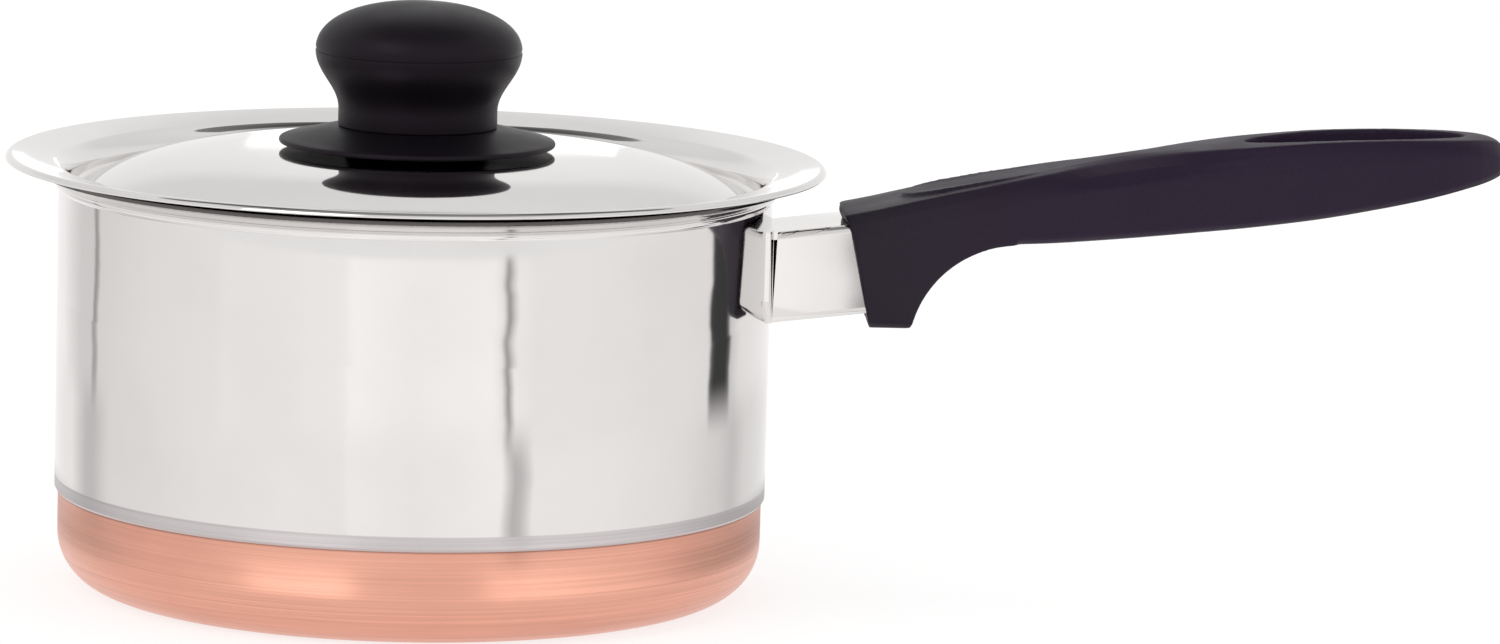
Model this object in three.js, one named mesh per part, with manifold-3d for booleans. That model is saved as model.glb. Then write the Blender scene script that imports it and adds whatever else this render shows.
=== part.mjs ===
// A lidded stainless-steel saucepan with a copper bottom cup, a bolted-on plastic handle and a
// steel lid with a plastic knob. Millimetres, +Z up; the origin is the centre of the base's
// underside, and the handle points along +X.
import * as THREE from "three";
import { mergeVertices } from "three/addons/utils/BufferGeometryUtils.js";
import Module from "manifold-3d";

const wasm = await Module();
wasm.setup();

// ---- driving dimensions -----------------------------------------------------------------

const clearance = 0.3; // between pieces that touch on the real pan
const roundSegments = 48; // facets round the pan, cup and lid
const smallSegments = 32; // facets round the knob and the fasteners

// Pan body
const bodyRadius = 80;
const bodyWall = 0.8;
const bodyHeight = 96.3; // base to the lip of the pouring rim
const rimWidth = 5.6; // how far the lip stands out from the wall
const rimDepth = 3.1; // height of the flare below the lip
const beadHeight = 1.8; // fine bead rolled under the flare
const beadProud = 0.6;
const beadRound = 0.3; // share of the bead's height taken by each of its rounded edges
const flareTuck = 0.35; // share of the rim's width at which the flare turns outward
const flareDip = 0.2; // share of the rim's depth left to rise from there

// Base
const cupHeight = 22.4;
const cupWall = 0.8;
const cornerRadius = 12.5; // outside radius where the base turns into the wall
const discMargin = 1.5; // between the disc's edge and the start of the corner
const discThickness = 3;
const discChamfer = 0.6;
const joggleHeight = 0.4; // the wall steps out above the cup over this height

// Handle bracket, folded from sheet
const bracketWall = 1.5;
const bracketWidth = 26;
const bracketDepth = 20.5;
const bracketBend = 3; // outside radius of the folds
const bracketTilt = THREE.MathUtils.degToRad(7);
const bracketDrop = 22.1; // its axis meets the wall this far below the pan's lip
const bracketReach = 30; // length along its axis, measured from the wall
const wingReach = 8.5; // how far each weld wing stands out beside the bracket
const wingRise = 1; // how far the wings stand above the bracket
const wingCorner = 5;

// Handle
const rootGap = 18; // from the pan's wall to the handle's root
const handleLength = 150;
const gripWall = 2.2; // moulded wall round the bracket
const waistHalfWidth = 14;
const endHalfWidth = 15;
const handleEdge = 2; // rounding of the long edges
const hangHoleLength = 50;
const hangHoleWidth = 15;
const hangHoleEnd = 10; // material between the hanging hole and the tip
const landingSink = 0.55; // the landing lies this far below the bracket's underside
const archRadius = 24.4; // finger arch behind the landing
const archDrop = 5.35; // its centre lies this far below the bracket's underside
const archStart = 161; // angle, in degrees, at which the arch leaves the landing
const rootLean = 4.8; // the root's face leans back by this from top to bottom
const rootRise = 4.8; // height of the root's top edge above the bracket
const rootNotch = 2.3; // the root's face steps in by this at the bracket's top
const padSetback = 1.5; // from the landing's end back to the thumb pad
const padFoot = 7.8; // height of the back where the pad begins
const padTop = 8.8; // and of the pad's raised edge
const bellyLow = 22; // heights of the underside, from the arch towards the nose
const bellyHigh = 27.7;
const noseBottom = 34;
const backLow = 15.5; // heights of the back, from the pad towards the nose
const backMiddle = 20.2;
const backHigh = 24;
const noseTop = 24.2;
const noseLength = 9; // the end rounds off over this length
const noseRound = 2.5; // and most of all over this
const tipHeight = 20.5; // the foremost point, above the bracket
const tipRound = 3; // the back drops by this over the last of the nose
const tipLift = 3.6; // and the belly rises by this
const tipTaper = 15; // seen from above, the end narrows from here
const tipShoulder = 0.86; // share of the end's width that is left there
const tipCorner = 4; // and again from here
const tipWidth = 0.57; // share of the end's width that is left there

// Lid
const lidSheet = 0.7;
const lidOverhang = 7.4; // how far the lid reaches past the pan's lip
const domeCrown = 2; // dome centre above the crest of the flange
const domeRise = 9.9; // dome centre above the trough
const domePower = 5; // flatness of the dome
const troughRadius = 1.4;
const lidPlay = 0.5; // radial play between the lid's locating wall and the pan
const flangeSlope = THREE.MathUtils.degToRad(10);
const shoulderRadius = 3;
const troughMouth = 1.6; // the dome ends this many trough radii inside the locating wall
const lipRadius = 1.5;

// Knob
const skirtRadius = 31.3;
const skirtRise = 4.9; // thickness of the skirt at its centre
const neckRadius = 18;
const knobRadius = 23.4;
const neckHeight = 3.6;
const headLowerHeight = 13.3;
const headUpperHeight = 11.1;
const headPower = 2.2; // 2 is an ellipse, more is squarer
const neckPull = 5; // how far the neck runs straight up before it swells
const headPull = 5.3; // how far the swell is already upright below its widest point
const lidSeatRadius = 15; // foot of the skirt on the lid
const skirtGap = 0.8; // the skirt's edge stays this far above its foot
const skirtEdge = 1.3; // thickness of its rounded edge
const skirtHollow = 1.5; // the underside steps up by this beside the foot

// Fasteners
const knobScrewRadius = 2.2;
const handleScrewRadius = 2;
const screwPlay = 0.4; // radial play of a screw in a plain hole
const insertWall = 1.7;
const insertLength = 13;
const washerThickness = 1;
const washerRadius = 6;
const knobHeadRadius = 4.5;
const knobHeadHeight = 2.6;
const headFlat = 0.75; // share of a screw head's radius that is flat
const headSide = 0.6; // share of its height that is upright
const pointLength = 0.5; // the shank's point, as a share of its radius
const slotLength = 1.1; // the cross recess, as a share of the head's radius
const slotWidth = 1.2;
const slotDepth = 1.1;
const screwEnd = 1; // how far a screw ends past its nut, or short of its insert's end
const insertSetback = 0.5; // the insert lies this far inside the neck
const nutAcross = 7;
const nutHeight = 3.6;
const screwSetback = 4.4; // from the bracket's end to the handle screw
const screwWall = 2; // moulded wall between the bracket and the screw's recess
const handleWasherRadius = 4.6;
const handleWasherThickness = 0.8;
const handleHeadRadius = 4;
const handleHeadHeight = 2.2;

// ---- sizes worked out from them ---------------------------------------------------------

const floorUnderside = cupWall + clearance + discThickness + clearance;
const lowerRadius = bodyRadius - cupWall - clearance;
const lowerCorner = cornerRadius - cupWall - clearance;
const stepHeight = cupHeight + clearance;
const flareBottom = bodyHeight - bodyWall - rimDepth + 0.5 * bodyWall;
const lidWallRadius = bodyRadius - bodyWall - lidPlay - lidSheet;
const panLip = bodyRadius + rimWidth;
const flangeEnd = panLip + lidOverhang - lipRadius;
const screwHoleRadius = knobScrewRadius + screwPlay;
const discRadius = bodyRadius - cornerRadius - discMargin;
const bracketHeight = bodyHeight - bracketDrop;
const bracketTop = bracketHeight + bracketDepth / 2;
const bracketBottom = bracketHeight - bracketDepth / 2;
const handleScrewReach = bracketReach - screwSetback;

// ---- helpers ----------------------------------------------------------------------------

const point = (x, y) => new THREE.Vector2(x, y);

// Points on a circle in the profile plane, from one angle to another, in degrees.
function arc(centreX, centreY, radius, from, to, steps) {
  return Array.from({ length: steps + 1 }, (_, i) => {
    const angle = THREE.MathUtils.degToRad(from + ((to - from) * i) / steps);
    return point(centreX + radius * Math.cos(angle), centreY + radius * Math.sin(angle));
  });
}

// A sheet of even thickness: the face's points, then the same points moved to its left.
function sheetProfile(face, thickness) {
  const normal = (a, b) => {
    const d = b.clone().sub(a).normalize();
    return point(-d.y, d.x);
  };
  const back = face.map((p, i) => {
    const before = normal(face[Math.max(i - 1, 0)], face[Math.max(i, 1)]);
    const last = face.length - 1;
    const after = normal(face[Math.min(i, last - 1)], face[Math.min(i + 1, last)]);
    const mitre = before.clone().add(after).normalize();
    return p.clone().addScaledVector(mitre, thickness / mitre.dot(before));
  });
  return [...face, ...back.reverse(), face[0].clone()];
}

// A body of revolution about Z from (radius, height) points.
function turned(profile, segments) {
  return new THREE.LatheGeometry(profile, segments).rotateX(Math.PI / 2);
}

// A round bar, tube or ring about Z, with a small chamfer on its outer edges.
function turnedBar(radius, bore, bottom, top, chamfer) {
  const outside = [
    point(bore, bottom),
    point(radius - chamfer, bottom),
    point(radius, bottom + chamfer),
    point(radius, top - chamfer),
    point(radius - chamfer, top),
    point(bore, top),
  ];
  return turned(bore > 0 ? [...outside, point(bore, bottom)] : outside, smallSegments);
}

function roundedRectangle(width, height, radius) {
  const x = width / 2;
  const y = height / 2;
  const shape = new THREE.Shape();
  shape.moveTo(-x + radius, -y);
  shape.lineTo(x - radius, -y).absarc(x - radius, -y + radius, radius, -Math.PI / 2, 0);
  shape.lineTo(x, y - radius).absarc(x - radius, y - radius, radius, 0, Math.PI / 2);
  shape.lineTo(-x + radius, y).absarc(-x + radius, y - radius, radius, Math.PI / 2, Math.PI);
  shape.lineTo(-x, -y + radius).absarc(-x + radius, -y + radius, radius, Math.PI, 1.5 * Math.PI);
  return shape;
}

function extrude(shape, depth, curveSegments = 6) {
  return new THREE.ExtrudeGeometry(shape, { depth, bevelEnabled: false, curveSegments });
}

function solid(geometry) {
  const bare = geometry.clone();
  bare.deleteAttribute("normal");
  bare.deleteAttribute("uv");
  const merged = mergeVertices(bare, 1e-4);
  const vertProperties = new Float32Array(merged.attributes.position.array);
  const triVerts = new Uint32Array(merged.index.array);
  return new wasm.Manifold(new wasm.Mesh({ numProp: 3, vertProperties, triVerts }));
}

function geometryOf(body) {
  const mesh = body.getMesh();
  const geometry = new THREE.BufferGeometry();
  geometry.setAttribute("position", new THREE.BufferAttribute(mesh.vertProperties, 3));
  geometry.setIndex(new THREE.BufferAttribute(mesh.triVerts, 1));
  geometry.computeVertexNormals();
  return geometry;
}

function named(name, geometry, color, roughness, metalness) {
  const material = new THREE.MeshStandardMaterial({ color, roughness, metalness });
  const mesh = new THREE.Mesh(geometry, material);
  mesh.name = name;
  return mesh;
}

// ---- pan --------------------------------------------------------------------------------

// Underside of the pouring rim, from the top of the bead to the lip.
function rimCurve() {
  const start = point(bodyRadius + 0.5 * beadProud, flareBottom);
  const bend = point(bodyRadius + flareTuck * rimWidth, bodyHeight - bodyWall - flareDip * rimDepth);
  const end = point(panLip, bodyHeight - bodyWall);
  return new THREE.QuadraticBezierCurve(start, bend, end).getPoints(4);
}

function panShell() {
  const corner = floorUnderside + lowerCorner;
  const beadTop = flareBottom - beadRound * beadHeight;
  const beadBottom = flareBottom - beadHeight;
  const face = [
    point(0, floorUnderside),
    ...arc(lowerRadius - lowerCorner, corner, lowerCorner, -90, 0, 5),
    point(lowerRadius, stepHeight),
    point(bodyRadius, stepHeight + joggleHeight),
    point(bodyRadius, beadBottom),
    point(bodyRadius + beadProud, beadBottom + beadRound * beadHeight),
    point(bodyRadius + beadProud, beadTop),
    ...rimCurve(),
  ];
  return turned(sheetProfile(face, bodyWall), roundSegments);
}

function copperCup() {
  const face = [
    point(0, 0),
    ...arc(bodyRadius - cornerRadius, cornerRadius, cornerRadius, -90, 0, 5),
    point(bodyRadius, cupHeight),
  ];
  return turned(sheetProfile(face, cupWall), roundSegments);
}

function heatDisc() {
  const bottom = cupWall + clearance;
  const top = bottom + discThickness;
  const profile = [
    point(0, bottom),
    point(discRadius - discChamfer, bottom),
    point(discRadius, bottom + discChamfer),
    point(discRadius, top - discChamfer),
    point(discRadius - discChamfer, top),
    point(0, top),
  ];
  return turned(profile, roundSegments);
}

// ---- handle bracket and its fasteners ---------------------------------------------------

// The bracket's frame: x along its axis from the pan's wall, z square to it.
const bracketFrame = new THREE.Matrix4()
  .makeTranslation(bodyRadius, 0, bracketHeight)
  .multiply(new THREE.Matrix4().makeRotationY(-bracketTilt));

// A bar of the bracket's section, grown by a margin, between two distances along its axis.
function bracketBar(margin, from, to) {
  const outline = roundedRectangle(
    bracketWidth + 2 * margin,
    bracketDepth + 2 * margin,
    bracketBend + margin,
  );
  const bar = extrude(outline, to - from);
  bar.rotateX(Math.PI / 2).rotateZ(Math.PI / 2).translate(from, 0, 0);
  return bar.applyMatrix4(bracketFrame);
}

// A round bar along the handle screw's axis, between two heights in the bracket's frame.
function screwBar(radius, bottom, top) {
  const bar = turnedBar(radius, 0, bottom, top, 0);
  return bar.translate(handleScrewReach, 0, 0).applyMatrix4(bracketFrame);
}

function weldWings() {
  const inner = bodyRadius + clearance;
  const wingTop = bracketTop + wingRise;
  const height = wingTop - bracketBottom;
  const width = bracketWidth + 2 * wingReach;
  const ring = turned(
    [
      point(inner, bracketBottom),
      point(inner + bracketWall, bracketBottom),
      point(inner + bracketWall, wingTop),
      point(inner, wingTop),
      point(inner, bracketBottom),
    ],
    roundSegments,
  );
  const outline = extrude(roundedRectangle(width, height, wingCorner), bodyRadius);
  outline.rotateX(Math.PI / 2).rotateZ(Math.PI / 2);
  outline.translate(bodyRadius / 2, 0, (wingTop + bracketBottom) / 2);
  const opening = bracketWidth - 2 * bracketWall;
  const gap = new THREE.BoxGeometry(2 * bodyRadius, opening, 2 * height);
  gap.translate(bodyRadius, 0, (wingTop + bracketBottom) / 2);
  return solid(ring).intersect(solid(outline)).subtract(solid(gap));
}

function handleBracket() {
  const tube = solid(bracketBar(0, -bodyRadius / 4, bracketReach));
  const hollow = solid(bracketBar(-bracketWall, -bodyRadius / 2, 2 * bracketReach));
  const wallProfile = [
    point(0, 0),
    point(bodyRadius + clearance, 0),
    point(bodyRadius + clearance, bodyHeight),
    point(0, bodyHeight),
  ];
  const wall = solid(turned(wallProfile, roundSegments));
  const screwHole = solid(screwBar(handleScrewRadius + screwPlay, -bracketDepth, 0));
  return geometryOf(
    tube.subtract(hollow).add(weldWings()).subtract(wall).subtract(screwHole),
  );
}

const plateTop = -bracketDepth / 2 + bracketWall;
const recessTop = -bracketDepth / 2 - screwWall;
const washerTop = recessTop - clearance;
const headTop = washerTop - handleWasherThickness - clearance;

function bracketNut() {
  const hex = new THREE.CylinderGeometry(nutAcross / 2, nutAcross / 2, nutHeight, 6);
  hex.rotateX(Math.PI / 2);
  hex.translate(0, 0, plateTop + clearance + nutHeight / 2);
  const bore = turnedBar(handleScrewRadius + clearance, 0, plateTop - 1, plateTop + 2 * nutHeight, 0);
  const nut = geometryOf(solid(hex).subtract(solid(bore)));
  return nut.translate(handleScrewReach, 0, 0).applyMatrix4(bracketFrame);
}

// A pan-head screw about Z with a cross recess; the head's top face meets the work.
function screw(headRadius, headHeight, shankRadius, underHead, shankEnd) {
  const bottom = underHead - headHeight;
  const profile = [
    point(0, bottom),
    point(headFlat * headRadius, bottom),
    point(headRadius, underHead - headSide * headHeight),
    point(headRadius, underHead),
    point(shankRadius, underHead),
    point(shankRadius, shankEnd - pointLength * shankRadius),
    point((1 - pointLength) * shankRadius, shankEnd),
    point(0, shankEnd),
  ];
  const slot = new THREE.BoxGeometry(slotLength * headRadius, slotWidth, 2 * slotDepth);
  const across = slot.clone().rotateZ(Math.PI / 2);
  const cross = solid(slot.translate(0, 0, bottom)).add(solid(across.translate(0, 0, bottom)));
  return geometryOf(solid(turned(profile, smallSegments)).subtract(cross));
}

function handleScrew() {
  const end = plateTop + clearance + nutHeight + screwEnd;
  const made = screw(handleHeadRadius, handleHeadHeight, handleScrewRadius, headTop, end);
  return made.translate(handleScrewReach, 0, 0).applyMatrix4(bracketFrame);
}

function handleWasher() {
  const bore = handleScrewRadius + screwPlay;
  const ring = turnedBar(handleWasherRadius, bore, washerTop - handleWasherThickness, washerTop, 0.1);
  return ring.translate(handleScrewReach, 0, 0).applyMatrix4(bracketFrame);
}

// ---- handle -----------------------------------------------------------------------------

// Landmarks along the handle, as distances from the pan's axis.
const rootStart = bodyRadius + rootGap;
const landingEnd = bodyRadius + bracketReach * Math.cos(bracketTilt) + gripWall;
const padStart = landingEnd - padSetback;
const archCentre = landingEnd + archRadius;
const handleTip = rootStart + handleLength;
const noseStart = handleTip - noseLength;
const hangHoleCentre = handleTip - hangHoleEnd - hangHoleLength / 2;
const rootHalfWidth = bracketWidth / 2 + clearance + gripWall;

// A point at a share of the length between the finger arch and the nose.
const along = (share) => THREE.MathUtils.lerp(archCentre, noseStart, share);
const above = (x, rise) => point(x, bracketTop + rise);
const below = (x, rise) => point(x, bracketBottom + rise);

// Side view: the underside's heights are measured from the bracket's bottom, the back's from
// its top, so the handle stays thick enough to hold the bracket.
function sideOutline() {
  const underside = new THREE.SplineCurve([
    below(archCentre, archRadius - archDrop),
    below(along(0.37), bellyLow),
    below(along(0.76), bellyHigh),
    below(noseStart, noseBottom),
  ]);
  const nose = new THREE.SplineCurve([
    below(noseStart, noseBottom),
    below(handleTip - noseRound, noseBottom + tipLift),
    above(handleTip, tipHeight),
    above(handleTip - noseRound, tipHeight + tipRound),
    above(noseStart, noseTop),
  ]);
  const back = new THREE.SplineCurve([
    above(noseStart, noseTop),
    above(along(0.78), backHigh),
    above(along(0.38), backMiddle),
    above(along(0.1), backLow),
    above(landingEnd, padTop),
  ]);
  return [
    below(rootStart + rootLean, -landingSink),
    below(landingEnd, -landingSink),
    ...arc(archCentre, bracketBottom - archDrop, archRadius, archStart, 90, 8),
    ...underside.getPoints(6).slice(1),
    ...nose.getPoints(8).slice(1),
    ...back.getPoints(10).slice(1),
    above(padStart, padFoot),
    above(rootStart, rootRise),
    above(rootStart + rootNotch, 0),
  ];
}

// Seen from above: a slight waist, wider round the hanging hole, and a round end.
function planOutline() {
  const upper = new THREE.SplineCurve([
    point(rootStart - rootGap / 4, rootHalfWidth),
    point(landingEnd + gripWall, rootHalfWidth),
    point(along(0.18), waistHalfWidth),
    point(along(0.7), endHalfWidth),
    point(handleTip - tipTaper, tipShoulder * endHalfWidth),
    point(handleTip - tipCorner, tipWidth * endHalfWidth),
    point(handleTip, 0),
  ]).getPoints(24);
  const lower = upper.slice(0, -1).map((p) => point(p.x, -p.y));
  return [...upper, ...lower.reverse()];
}

function handleGrip() {
  const flatHalfWidth = Math.max(rootHalfWidth, waistHalfWidth, endHalfWidth) - handleEdge;
  const side = new THREE.ExtrudeGeometry(new THREE.Shape(sideOutline()), {
    depth: 2 * flatHalfWidth,
    bevelEnabled: true,
    bevelThickness: handleEdge,
    bevelSize: handleEdge,
    bevelOffset: -handleEdge,
    bevelSegments: 3,
  });
  side.rotateX(Math.PI / 2).translate(0, flatHalfWidth, 0);
  const plan = extrude(new THREE.Shape(planOutline()), 2 * bodyHeight);
  const holeShape = new THREE.Shape();
  holeShape.absellipse(hangHoleCentre, 0, hangHoleLength / 2, hangHoleWidth / 2, 0, 2 * Math.PI);
  const hole = extrude(holeShape, 2 * bodyHeight, 14);
  const socket = bracketBar(clearance, 0, bracketReach + clearance);
  const screwHole = screwBar(handleScrewRadius + screwPlay, -bracketDepth, 0);
  const recess = screwBar(handleWasherRadius + clearance, -2 * bracketDepth, recessTop);
  return geometryOf(
    solid(side)
      .intersect(solid(plan))
      .subtract(solid(hole))
      .subtract(solid(socket))
      .subtract(solid(screwHole))
      .subtract(solid(recess)),
  );
}

// ---- lid --------------------------------------------------------------------------------

// The flange's underside rests on the pan's lip and climbs at its slope to the crest.
const flangeRest = bodyHeight + clearance + lidSheet / Math.cos(flangeSlope);
const flangeTop = flangeRest + (flangeEnd - panLip) * Math.tan(flangeSlope);
const crestHeight = flangeTop + lipRadius * (1 - Math.cos(flangeSlope));
const shoulderStart = lidWallRadius + shoulderRadius * (1 - Math.sin(flangeSlope));
const shoulderTop = flangeTop - (flangeEnd - shoulderStart) * Math.tan(flangeSlope);
const shoulderCentre = shoulderTop - shoulderRadius * Math.cos(flangeSlope);
const domeTop = crestHeight + domeCrown;
const domeEdge = lidWallRadius - troughMouth * troughRadius;
const domeHeight = (r) => domeTop - domeRise * (r / domeEdge) ** domePower;

function lidFace() {
  const edgeSlope = Math.atan((domePower * domeRise) / domeEdge);
  const troughFrom = -90 - THREE.MathUtils.radToDeg(edgeSlope);
  const troughX = lidWallRadius - troughRadius;
  const troughZ = domeHeight(domeEdge) + troughRadius * Math.cos(edgeSlope);
  const slopeAngle = THREE.MathUtils.radToDeg(flangeSlope);
  const crest = point(flangeEnd, crestHeight - lipRadius);
  const domeSteps = 7;
  const dome = Array.from({ length: domeSteps }, (_, i) => {
    const r = THREE.MathUtils.lerp(lidSeatRadius, domeEdge, Math.sqrt(i / domeSteps));
    return point(r, domeHeight(r));
  });
  return [
    point(screwHoleRadius, domeTop),
    ...dome,
    ...arc(troughX, troughZ, troughRadius, troughFrom, 0, 4),
    ...arc(lidWallRadius + shoulderRadius, shoulderCentre, shoulderRadius, 180, 90 + slopeAngle, 4),
    ...arc(crest.x, crest.y, lipRadius, 90 + slopeAngle, 15, 4),
  ];
}

function lidShell() {
  return turned(sheetProfile(lidFace().reverse(), lidSheet), roundSegments);
}

// ---- knob and its fasteners -------------------------------------------------------------

const seatHeight = domeTop + clearance;
const skirtTop = seatHeight + skirtRise;
const neckBottom = skirtTop + clearance;
const neckTop = neckBottom + neckHeight;
const headWaist = neckTop + headLowerHeight;
const insertBottom = neckBottom + insertSetback;
const insertRadius = knobScrewRadius + clearance + insertWall;

// A flat foot, a hollow underside, a rounded edge and a gently coned top.
function knobSkirt() {
  const bore = screwHoleRadius + clearance;
  const edge = seatHeight + skirtGap;
  const profile = [
    point(bore, seatHeight),
    point(lidSeatRadius, seatHeight),
    point(lidSeatRadius + skirtHollow, seatHeight + skirtHollow),
    point(skirtRadius - 2 * skirtEdge, edge + skirtEdge / 2),
    ...arc(skirtRadius - skirtEdge / 2, edge + skirtEdge / 2, skirtEdge / 2, -90, 70, 5),
    point(neckRadius + skirtGap, skirtTop - clearance),
    point(neckRadius, skirtTop),
    point(bore, skirtTop),
    point(bore, seatHeight),
  ];
  return turned(profile, roundSegments);
}

function lidKnob() {
  const lower = new THREE.CubicBezierCurve(
    point(neckRadius, neckTop),
    point(neckRadius, neckTop + neckPull),
    point(knobRadius, headWaist - headPull),
    point(knobRadius, headWaist),
  );
  const steps = 9;
  const upper = Array.from({ length: steps }, (_, i) => {
    const share = Math.sin(((i + 1) / steps) * (Math.PI / 2));
    const radius = knobRadius * (1 - share ** headPower) ** (1 / headPower);
    return point(radius, headWaist + share * headUpperHeight);
  });
  const socketTop = insertBottom + insertLength + clearance;
  const profile = [
    point(insertRadius + clearance, neckBottom),
    point(neckRadius, neckBottom),
    ...lower.getPoints(8),
    ...upper,
    point(0, socketTop),
    point(insertRadius + clearance, socketTop),
    point(insertRadius + clearance, neckBottom),
  ];
  return turned(profile, smallSegments);
}

function knobInsert() {
  const bore = knobScrewRadius + clearance;
  return turnedBar(insertRadius, bore, insertBottom, insertBottom + insertLength, 0.3);
}

const knobWasherTop = domeTop - lidSheet - clearance;

function knobWasher() {
  const bottom = knobWasherTop - washerThickness;
  return turnedBar(washerRadius, screwHoleRadius, bottom, knobWasherTop, 0.15);
}

function knobScrew() {
  const underHead = knobWasherTop - washerThickness - clearance;
  const end = insertBottom + insertLength - screwEnd;
  return screw(knobHeadRadius, knobHeadHeight, knobScrewRadius, underHead, end);
}

// ---- assembly ---------------------------------------------------------------------------

const steel = 0xdedbd9;
const saucepan = new THREE.Group();

const pan = new THREE.Group();
pan.add(named("pan_shell", panShell(), steel, 0.12, 1));
pan.add(named("copper_cup", copperCup(), 0xd99679, 0.32, 1));
pan.add(named("heat_disc", heatDisc(), 0xb9bbbe, 0.45, 1));
pan.add(named("handle_bracket", handleBracket(), steel, 0.15, 1));
pan.add(named("bracket_nut", bracketNut(), 0xa9a8a4, 0.4, 1));
pan.add(named("handle_grip", handleGrip(), 0x2c2630, 0.55, 0));
pan.add(named("handle_washer", handleWasher(), 0xb4b3b0, 0.35, 1));
pan.add(named("handle_screw", handleScrew(), 0xb4b3b0, 0.35, 1));
saucepan.add(pan);

const lid = new THREE.Group();
lid.add(named("lid_shell", lidShell(), steel, 0.1, 1));
lid.add(named("knob_skirt", knobSkirt(), 0x1e1b20, 0.5, 0));
lid.add(named("lid_knob", lidKnob(), 0x1e1b20, 0.5, 0));
lid.add(named("knob_insert", knobInsert(), 0xc2a15a, 0.35, 1));
lid.add(named("knob_washer", knobWasher(), 0xb4b3b0, 0.35, 1));
lid.add(named("knob_screw", knobScrew(), 0xb4b3b0, 0.35, 1));
saucepan.add(lid);

export default saucepan;
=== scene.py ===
# %% [markdown]
# # A lidded saucepan: skins, finishes and a studio round a fixed frame
#
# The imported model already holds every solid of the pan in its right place: shell, copper cup,
# bracket, handle, lid and knob. This lesson gives each solid that shows a fine skin, modelled
# with Blender's own tools, and paints every piece with a procedural finish. Nothing of the
# frame is moved, so each size below is read from the frame's boxes or is a small named detail.

import math

import bpy
from mathutils import Matrix, Vector


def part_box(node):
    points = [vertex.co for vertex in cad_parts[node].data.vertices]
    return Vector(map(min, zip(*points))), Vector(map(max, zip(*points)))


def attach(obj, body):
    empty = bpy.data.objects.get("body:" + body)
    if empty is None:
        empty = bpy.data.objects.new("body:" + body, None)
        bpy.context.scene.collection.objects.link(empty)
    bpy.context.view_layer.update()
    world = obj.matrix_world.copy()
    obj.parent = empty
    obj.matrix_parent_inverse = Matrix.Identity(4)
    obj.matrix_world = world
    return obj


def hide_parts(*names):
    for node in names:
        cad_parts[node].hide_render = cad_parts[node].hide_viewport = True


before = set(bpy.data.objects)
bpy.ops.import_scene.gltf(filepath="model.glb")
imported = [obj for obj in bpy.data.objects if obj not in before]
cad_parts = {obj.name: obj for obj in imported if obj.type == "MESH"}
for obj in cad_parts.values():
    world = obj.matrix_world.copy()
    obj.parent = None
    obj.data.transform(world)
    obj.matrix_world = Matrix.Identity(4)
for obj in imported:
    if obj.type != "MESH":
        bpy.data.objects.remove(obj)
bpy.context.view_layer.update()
mm = 0.001

for name in sorted(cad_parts):
    low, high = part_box(name)
    print(f"{name:15s}", [round(v / mm, 1) for v in low], [round(v / mm, 1) for v in high])

# %% [markdown]
# ## Drawing an outline and turning it
#
# A pressed or moulded pan is mostly bodies of revolution. By hand one would draw half of the
# section and spin it. A plane merged to one point is the pencil: extruding that point from
# place to place leaves a line of edges. `trace` draws such a line and `turn` spins it about
# the upright axis. Doubles are merged before the normals are made consistent, because the two
# ends of a full turn lie on each other.

# %% Pencil and lathe
TURNS = 180
WELD = 0.002 * mm


def deselect():
    if bpy.context.object and bpy.context.object.mode == "EDIT":
        bpy.ops.object.mode_set(mode="OBJECT")
    bpy.ops.object.select_all(action="DESELECT")


def pick(piece):
    """Selects one piece alone and makes it the active one."""
    deselect()
    bpy.context.view_layer.objects.active = piece
    piece.select_set(True)


def settle(piece):
    """Moves the piece's place, turn and scale into its mesh."""
    pick(piece)
    bpy.ops.object.transform_apply(location=True, rotation=True, scale=True)


def arc(centre, radius, start, end, steps):
    """Points on a circle in the section plane; the angles are in degrees."""
    angles = [math.radians(start + (end - start) * i / steps) for i in range(steps + 1)]
    return [(centre[0] + radius * math.cos(a), centre[1] + radius * math.sin(a)) for a in angles]


def bend(start, middle, end, steps):
    """Points on a curve that leaves start and reaches end, both aimed at middle."""
    shares = [i / steps for i in range(steps + 1)]
    return [
        tuple((1 - t) ** 2 * a + 2 * t * (1 - t) * b + t * t * c for a, b, c in zip(start, middle, end))
        for t in shares
    ]


def edit(piece):
    """Opens one piece in edit mode with everything on it selected."""
    pick(piece)
    bpy.ops.object.mode_set(mode="EDIT")
    bpy.ops.mesh.select_all(action="SELECT")


def draw_on(points):
    """Extrudes the one selected point along a line of places."""
    for here, there in zip(points, points[1:]):
        bpy.ops.mesh.extrude_region_move(TRANSFORM_OT_translate={"value": there - here})


def trace(name, points):
    """A line of edges through points."""
    deselect()
    points = [Vector(p) for p in points]
    bpy.ops.mesh.primitive_plane_add(size=mm, location=points[0])
    piece = bpy.context.object
    piece.name = piece.data.name = name
    bpy.ops.object.mode_set(mode="EDIT")
    bpy.ops.mesh.select_mode(type="VERT")
    bpy.ops.mesh.merge(type="CENTER")
    draw_on(points)
    bpy.ops.object.mode_set(mode="OBJECT")
    settle(piece)
    return piece


def close_up(piece):
    """Merges doubles and turns all faces outwards."""
    edit(piece)
    bpy.ops.mesh.remove_doubles(threshold=WELD)
    bpy.ops.mesh.normals_make_consistent(inside=False)
    bpy.ops.object.mode_set(mode="OBJECT")


def turn(name, outline, turns=TURNS):
    """Spins an outline of (radius, height) points a full turn about the upright axis."""
    piece = trace(name, [(r, 0, z) for r, z in outline])
    edit(piece)
    bpy.ops.mesh.spin(steps=turns, angle=math.tau, center=(0, 0, 0), axis=(0, 0, 1))
    close_up(piece)
    return piece


def modify(piece, kind, **settings):
    """Adds a modifier, sets it and applies it at once."""
    pick(piece)
    modifier = piece.modifiers.new(kind.title(), kind)
    for key, value in settings.items():
        setattr(modifier, key, value)
    bpy.ops.object.modifier_apply(modifier=modifier.name)
    return piece


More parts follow.
